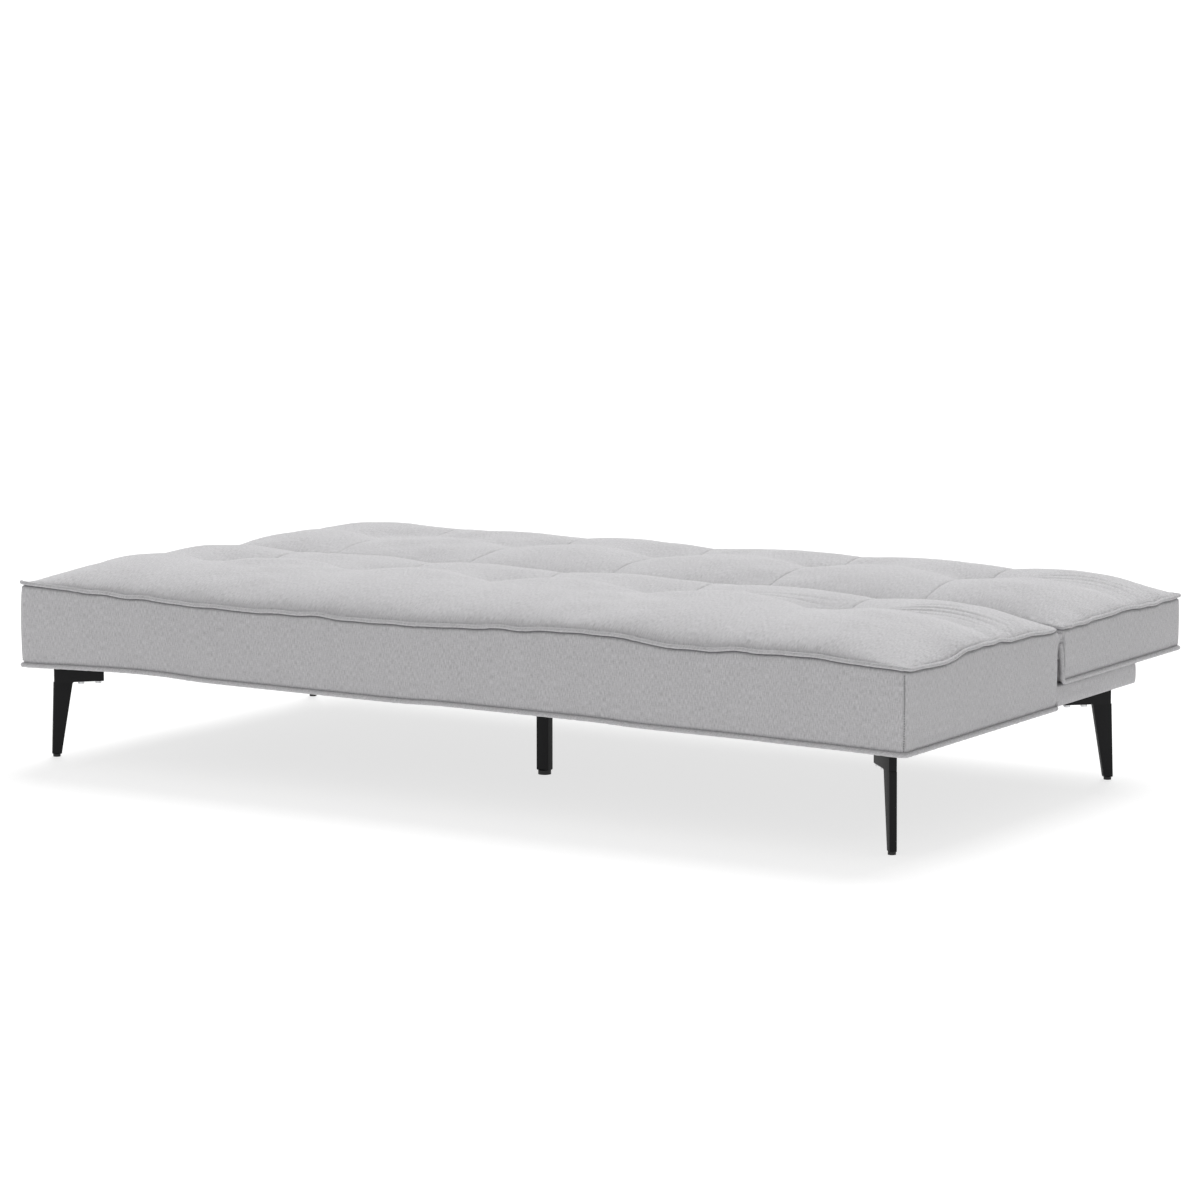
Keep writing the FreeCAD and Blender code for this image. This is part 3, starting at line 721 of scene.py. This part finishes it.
# Two tones mixed by a noise, with the same noise as a fine bump.
def makeMottled(name, first, second, scale, roughness, metallic=0.0, bump=0.0002,
                stretch=(1, 1, 1)):
    material, tree, shader = newMaterial(name, roughness, metallic)
    place = tree.nodes.new("ShaderNodeTexCoord").outputs["Object"]
    noise = noiseNode(tree, stretched(tree, place, stretch), scale, 4.0, 0.6)
    mix = tree.nodes.new("ShaderNodeMix")
    mix.data_type = "RGBA"
    tree.links.new(noise, mix.inputs[0])
    mix.inputs[6].default_value = (*first, 1)
    mix.inputs[7].default_value = (*second, 1)
    tree.links.new(mix.outputs[2], shader.inputs["Base Color"])
    rough = mathNode(tree, "ADD", roughness - 0.08, mathNode(tree, "MULTIPLY", noise, 0.16))
    tree.links.new(rough, shader.inputs["Roughness"])
    bumpInto(tree, shader, noise, bump)
    return material


clothLook = {
    "lightThread": (0.635, 0.628, 0.642, 1),
    "darkThread": (0.40, 0.395, 0.405, 1),
    "threadPitch": 0.0011,
    # The colour that the painted shade multiplies the cloth's colour by at full strength.
    "paintedShadeTone": (0.30, 0.30, 0.32, 1),
    "heather": 1.0,
    "sheen": 0.35,
    "sheenRoughness": 0.45,
    "specular": 0.25,
    "bump": 0.00035,
}
weaveGroup = makeWeaveGroup()
coverCloth = makeCloth("coverCloth", weaveGroup, clothLook)
weltCloth = makeCloth("weltCloth", weaveGroup, clothLook, math.radians(45))

finishes = {
    "cover_fabric": coverCloth,
    "welt_fabric": weltCloth,
    "lining_fabric": makeMottled("blackLining", (0.012, 0.012, 0.013), (0.03, 0.03, 0.032),
                                 900, 0.9),
    "foam": makeMottled("cutFoam", (0.80, 0.76, 0.58), (0.88, 0.85, 0.70), 400, 0.95),
    "felt": makeMottled("needledFelt", (0.18, 0.17, 0.17), (0.34, 0.33, 0.31), 500, 0.95),
    "timber": makeMottled("planedTimber", (0.52, 0.34, 0.17), (0.70, 0.50, 0.29), 9, 0.7,
                          stretch=(1, 14, 14)),
    "hardboard": makeMottled("thinHardboard", (0.20, 0.11, 0.055), (0.30, 0.18, 0.10), 300, 0.6),
    "webbing": makeMottled("elasticWebbing", (0.015, 0.015, 0.017), (0.05, 0.05, 0.055), 800, 0.85,
                           stretch=(1, 3, 1)),
    "tie_cord": makeMottled("tuftingCord", (0.55, 0.53, 0.47), (0.70, 0.68, 0.62), 700, 0.7),
    "spring_steel": makeMottled("springWire", (0.16, 0.16, 0.17), (0.28, 0.28, 0.29), 120, 0.4, 1.0),
    "clip_plastic": makeMottled("clipPlastic", (0.015, 0.015, 0.015), (0.03, 0.03, 0.03), 300, 0.55),
    "hinge_steel": makeMottled("platedHinge", (0.42, 0.42, 0.44), (0.56, 0.56, 0.57), 60, 0.38, 1.0,
                               0.0001),
    "zinc_steel": makeMottled("zincBolt", (0.55, 0.56, 0.58), (0.72, 0.72, 0.72), 90, 0.3, 1.0,
                              0.0001),
    "leg_black": makeMottled("blackPowderCoat", (0.0045, 0.0045, 0.005), (0.009, 0.009, 0.010),
                             1400, 0.5, 0.0, 0.00006),
    "glide_plastic": makeMottled("blackGlide", (0.008, 0.008, 0.008), (0.018, 0.018, 0.018), 500,
                                 0.6),
}
nodeSlots = {part["node"]: part["material_slot"] for part in frame["record"]["subparts"]}
for nodeName, node in frame["nodes"].items():
    for place in node.material_slots:
        place.material = finishes[nodeSlots[nodeName]]
# The corner stitches' thread is coloured dark grey as painted shade, standing in for the thread lying in
# the seam's shade.
paintedShadeThread = makeMottled("paintedShadeThread", (0.09, 0.09, 0.095), (0.15, 0.15, 0.155), 700, 0.8)
legShader = finishes["leg_black"].node_tree.nodes["Principled BSDF"]
legShader.inputs["Specular IOR Level"].default_value = 0.2
print("finishes made")


studio = {"ambient": 0.61, "rightShade": 0.40, "floorHalf": 300, "floorTone": 0.32,
          "floorGlow": 0.72, "lampTowards": (0.24, -0.62, -0.75), "lampStrength": 3.10,
          "lampSoftness": 35}
cameraLook = {"place": (4.489, -7.182, 1.513), "turn": 31.97, "tilt": 8.12, "lens": 137.94,
              "sensor": 36.0, "farthest": 2000}
camera = bpy.data.objects.new("camera", bpy.data.cameras.new("camera"))
camera.data.lens = cameraLook["lens"]
camera.data.sensor_width = cameraLook["sensor"]
camera.data.clip_end = cameraLook["farthest"]
camera.location = cameraLook["place"]
camera.rotation_euler = (math.radians(90 - cameraLook["tilt"]), 0, math.radians(cameraLook["turn"]))
bpy.context.scene.collection.objects.link(camera)
bpy.context.scene.camera = camera

floorMaterial, _, floorShader = newMaterial("paleFloor", 0.9)
floorShader.inputs["Base Color"].default_value = (*[studio["floorTone"]] * 3, 1)
floorShader.inputs["Emission Color"].default_value = (1, 1, 1, 1)
floorShader.inputs["Emission Strength"].default_value = studio["floorGlow"]
far = studio["floorHalf"]
floor = makePiece("floor", [(-far, -far, 0), (far, -far, 0), (far, far, 0), (-far, far, 0)],
                  [(0, 1, 2, 3)])
floor.data.materials.append(floorMaterial)

# The surroundings light the object evenly, a little less from the right, and look white.
world = bpy.data.worlds.new("studio")
world.use_nodes = True
sky = world.node_tree
sky.nodes["Background"].inputs["Color"].default_value = (1, 1, 1, 1)
seen = sky.nodes.new("ShaderNodeLightPath").outputs["Is Camera Ray"]
direction = sky.nodes.new("ShaderNodeTexCoord").outputs["Generated"]
axes = sky.nodes.new("ShaderNodeSeparateXYZ")
sky.links.new(direction, axes.inputs[0])
rightness = mathNode(sky, "MAXIMUM", axes.outputs[0], 0.0)
shade = mathNode(sky, "MULTIPLY", rightness, -studio["rightShade"] * studio["ambient"])
ambient = mathNode(sky, "ADD", shade, studio["ambient"])
glow = mathNode(sky, "MAXIMUM", seen, ambient)
sky.links.new(glow, sky.nodes["Background"].inputs["Strength"])
bpy.context.scene.world = world
bpy.context.scene.view_settings.view_transform = "Standard"

lamp = bpy.data.objects.new("overheadLamp", bpy.data.lights.new("overheadLamp", "SUN"))
lamp.data.energy = studio["lampStrength"]
lamp.data.angle = math.radians(studio["lampSoftness"])
lamp.rotation_euler = Vector(studio["lampTowards"]).to_track_quat("-Z", "Y").to_euler()
bpy.context.scene.collection.objects.link(lamp)
print("studio set")


seatCushion = {
    "name": "seatMattress",
    "cadNodes": ("seat_foam", "seat_cover", "seat_insulator"),
    "body": "base",
    "slots": False,
    "box": widened(*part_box("seat_cover"), 0.0055, 0.0055, 0.0),
    "cornerRadius": 0.011,
    "lines": (270, 96),
    "seamTuck": 0.0042,
    "lip": 0.0,
    "seamHeight": 0.3195,
    "ripple": 1.0,
    "bottomHeight": 0.1755,
    "insideHeight": 0.2145,
    "openSideBottom": 0.2185,
    "openSide": 1,
    "leastHeight": 0.0175,
    "crown": 0.060,
    "crownLift": ((-0.94, -0.004), (-0.6, -0.003), (-0.2, 0.003), (0.3, 0.006), (0.94, 0.003)),
    "endReach": 0.20,
    "longReach": 0.16,
    "panelBulge": 0.0025,
    "tuftsX": (-0.665, -0.343, -0.043, 0.287, 0.622),
    "tuftRow": -0.215,
    "lobe": (0.016, -0.065, 0.085),
    "tuftDepth": 0.046,
    "tuftReach": (0.074, 0.092, 0.080),
    "valleyDepth": 0.015,
    "creasePaintedShade": 0.15,
    "creaseFade": (0.25, 1.0),
    "frontLift": ((-0.94, 0.015), (-0.82, 0.008), (-0.70, 0.006), (-0.55, 0.002), (-0.40, 0.0),
                  (-0.28, 0.005), (-0.13, 0.001), (0.0, 0.006), (0.17, 0.014), (0.34, 0.020),
                  (0.50, 0.006), (0.66, 0.013), (0.78, 0.015), (0.87, 0.008), (0.94, 0.002)),
    "rearLift": ((-0.94, 0), (-0.3, -0.004), (0.3, -0.003), (0.94, 0)),
    "endLift": ((-0.54, -0.001), (-0.44, -0.002), (-0.25, 0.010), (-0.10, 0.005), (0.035, 0)),
    "bottomLift": ((-0.94, -0.002), (-0.80, 0.004), (-0.68, 0.009), (-0.45, 0.005), (-0.17, 0.005),
                   (0.10, 0.008), (0.25, 0.008), (0.5, 0.005), (0.85, 0.004), (0.94, 0)),
    "fans": ((3, 0.5), (4, 1.0)),
    "slant": 0.0,
}

backCushion = {
    "name": "backMattress",
    "cadNodes": ("back_foam", "back_cover"),
    "body": "backrest",
    "slots": True,
    "box": widened(*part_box("back_cover"), 0.0055, 0.003, 0.0055),
    "cornerRadius": 0.007,
    "lines": (270, 90),
    "seamTuck": 0.0042,
    "lip": 0.0,
    "seamHeight": 0.3195,
    "ripple": 1.0,
    "bottomHeight": 0.2200,
    "insideHeight": 0.2200,
    "openSideBottom": 0.2200,
    "openSide": -1,
    "leastHeight": 0.0175,
    "crown": 0.061,
    "crownLift": ((-0.94, -0.018), (-0.6, -0.017), (-0.1, -0.010), (0.4, -0.003), (0.94, -0.003)),
    "endReach": 0.20,
    "longReach": 0.14,
    "panelBulge": 0.0025,
    "tuftsX": (-0.640, -0.333, -0.022, 0.313, 0.635),
    "tuftRow": 0.320,
    "lobe": (0.010, -0.070, 0.085),
    "tuftDepth": 0.038,
    "tuftReach": (0.076, 0.085, 0.075),
    "valleyDepth": 0.014,
    "creasePaintedShade": 0.28,
    "creaseFade": (1.0, 1.0),
    "frontLift": ((-0.94, 0), (0.94, 0)),
    "rearLift": ((-0.94, 0), (-0.4, 0.003), (0.1, -0.003), (0.5, 0.003), (0.94, 0)),
    "endLift": ((0.055, 0), (0.20, 0.001), (0.30, 0.004), (0.42, -0.002), (0.54, 0)),
    "bottomLift": ((-0.94, 0), (-0.3, 0.001), (0.4, 0.0), (0.94, 0)),
    "fans": ((4, 0.6),),
    "slant": 0.0085,
}

ledgeFront = 0.022
ledgeLow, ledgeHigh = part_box("ledge_cover")
ledgeCushion = {
    "name": "ledgeCover",
    "cadNodes": ("ledge_cover",),
    "body": "base",
    "slots": False,
    "box": (Vector((ledgeLow.x, ledgeFront, ledgeLow.z)), ledgeHigh),
    "cornerRadius": 0.012,
    "lines": (150, 44),
    "seamTuck": 0.0,
    "lip": 0.0055,
    "seamHeight": 0.2158,
    "ripple": 0.12,
    "bottomHeight": 0.1790,
    "insideHeight": 0.2120,
    "openSideBottom": 0.1805,
    "openSide": 1,
    "leastHeight": -0.05,
    "crown": 0.0014,
    "crownLift": ((-0.94, 0), (0.94, 0)),
    "endReach": 0.006,
    "longReach": 0.006,
    "panelBulge": 0.0022,
    "tuftsX": (),
    "tuftRow": 0.2,
    "lobe": (0.0, 0.0, 0.1),
    "tuftDepth": 0.0,
    "tuftReach": (0.1, 0.05, 0.05),
    "creasePaintedShade": 0.0,
    "valleyDepth": 0.0,
    "creaseFade": (0.0, 0.0),
    "frontLift": ((-0.94, 0), (0.94, 0)),
    "rearLift": ((-0.94, 0), (0.94, 0)),
    "endLift": ((0.02, 0), (0.37, 0)),
    "bottomLift": ((-0.94, 0), (0.94, 0)),
    "fans": (),
    "slant": 0.0,
}

hingeSlot = {
    "centres": (-0.879, 0.879),
    "width": 0.013,
    "outline": ((0.040, 0.205), (0.099, 0.205), (0.099, 0.225), (0.075, 0.3125), (0.040, 0.3125)),
}

for cushion in (seatCushion, backCushion, ledgeCushion):
    mattress = makeMattress(cushion)
    if cushion["slots"]:
        cutSlots(mattress, hingeSlot["outline"], hingeSlot["centres"], hingeSlot["width"])
    finishPiece(mattress, coverCloth, cushion["body"])
    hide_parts(*cushion["cadNodes"])
    print(cushion["name"], len(mattress.data.polygons), "faces")

weltLook = {"radius": 0.0036, "sides": 14, "outward": 0.0012, "lumps": 0.00025, "tuck": 0.007,
            "tuckLength": 0.006, "turnBend": 0.012, "turnSink": 0.005}
lowWeltLook = dict(weltLook, radius=0.0042, outward=0.0016)
lowWeltRaise = 0.0020
# Each job: name, CAD node, mattress, whether it is the low welt, how far its ends are cut
# short and how far they turn up.
weltJobs = (("seatTopWelt", "seat_top_welt", seatCushion, False, 0.010, 0.0),
            ("seatBottomWelt", "seat_bottom_welt", seatCushion, True, 0.004, 0.0),
            ("backTopWelt", "back_top_welt", backCushion, False, 0.010, 0.0),
            ("backBottomWelt", "back_bottom_welt", backCushion, True, 0.008, 0.070))
for weltName, weltNode, cushion, isLow, trim, turnUp in weltJobs:
    heights = cushion["rimBottom"] + lowWeltRaise if isLow else cushion["rim"][:, 2]
    look = lowWeltLook if isLow else weltLook
    weltPiece = makeWelt(weltName, cushion, heights, trim, look, turnUp)
    finishPiece(weltPiece, weltCloth, cushion["body"])
    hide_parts(weltNode)
print("welts made")

foldLook = {"front": 0.030, "rear": 0.062, "height": 0.3165, "sag": 0.009, "tongue": 0.046,
            "bend": 0.008, "thickness": 0.0012}
foldCloth = makeFoldCloth(foldLook, seatCushion["box"][1].x - 0.001)
foldCloth.data.materials.append(coverCloth)
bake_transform(foldCloth)
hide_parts("junction_gusset")

legLook = {
    "footHeight": 0.005, "topHeight": 0.1785, "flange": 0.0375, "fillet": 0.004,
    "outerFoot": -0.00875, "outerTop": -0.00275, "innerFoot": 0.00875, "innerTop": 0.0310,
    "flangeEnd": 0.09025, "thickFoot": 0.0130, "thickTop": 0.0140, "edge": 0.0016,
}
for corner in ("front_left", "front_right", "rear_left", "rear_right"):
    glideLow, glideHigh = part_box("glide_" + corner)
    foot = ((glideLow.x + glideHigh.x) / 2, (glideLow.y + glideHigh.y) / 2)
    inwardX = -1 if foot[0] > 0 else 1
    inwardY = -1 if foot[1] > 0 else 1
    leg = sectionTower("legBlade_" + corner, cornerLegRows(legLook), legLook["edge"],
                       math.atan2(inwardY, inwardX), foot)
    finishPiece(leg, finishes["leg_black"], "base")
    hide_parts("leg_" + corner)

postLook = {"halfWide": 0.0125, "halfDeep": 0.009, "plateHalf": 0.038, "plateThick": 0.003,
            "bevel": 0.001, "edge": 0.0015}
centreLow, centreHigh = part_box("centre_leg")
wide, deep = postLook["halfWide"], postLook["halfDeep"]
bevel, plate = postLook["bevel"], postLook["plateHalf"]
postTop = centreHigh.z - postLook["plateThick"]
postRows = [(centreLow.z, bevel - wide, wide - bevel, deep - bevel),
            (centreLow.z + bevel, -wide, wide, deep),
            (postTop, -wide, wide, deep),
            (postTop, -wide, wide, plate),
            (centreHigh.z, -wide, wide, plate)]
centreSpot = ((centreLow.x + centreHigh.x) / 2, (centreLow.y + centreHigh.y) / 2)
centrePost = sectionTower("centrePost", postRows, postLook["edge"], 0.0, centreSpot)
finishPiece(centrePost, finishes["leg_black"], "base")
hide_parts("centre_leg")
print("legs made")

dustLook = {"thickness": 0.0010, "sag": 0.0015, "bays": (4, 2)}
dustLow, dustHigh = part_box("dust_cover")
dustSheet = makeLining("dustSheet", dustLow, dustHigh, dustHigh.z, dustLook)
finishPiece(dustSheet, finishes["lining_fabric"], "base")
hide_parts("dust_cover")

liningLook = {"thickness": 0.0010, "sag": 0.0008, "bays": (4, 1), "margin": 0.004, "front": 0.101,
              "below": 0.0008}
panelLow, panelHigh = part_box("back_under_panel")
liningLow = (panelLow.x + liningLook["margin"], liningLook["front"])
liningHigh = (panelHigh.x - liningLook["margin"], panelHigh.y - liningLook["margin"])
liningHeight = backCushion["bottomHeight"] - liningLook["below"]
backLining = makeLining("backLining", liningLow, liningHigh, liningHeight, liningLook)
finishPiece(backLining, finishes["lining_fabric"], "backrest")
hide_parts("back_under_panel")
print("linings made")

stitchLook = {"pitch": 0.0042, "length": 0.0026, "radius": 0.0007, "proud": 0.0003,
              "swell": 0.0025, "low": 0.186, "high": 0.312, "margin": 0.006}
seatLow, seatHigh = seatCushion["box"]
inset = seatCushion["cornerRadius"] * (1 - math.sqrt(0.5)) - 0.0002
for sign, label in ((-1, "Left"), (1, "Right")):
    corner = (sign * (seatHigh.x - inset), seatLow.y + inset, 0.0)
    outward = (sign * math.sqrt(0.5), -math.sqrt(0.5))
    stitches = makeStitches("cornerStitches" + label, corner, outward, stitchLook)
    finishPiece(stitches, paintedShadeThread, "base")
print("stitches made")
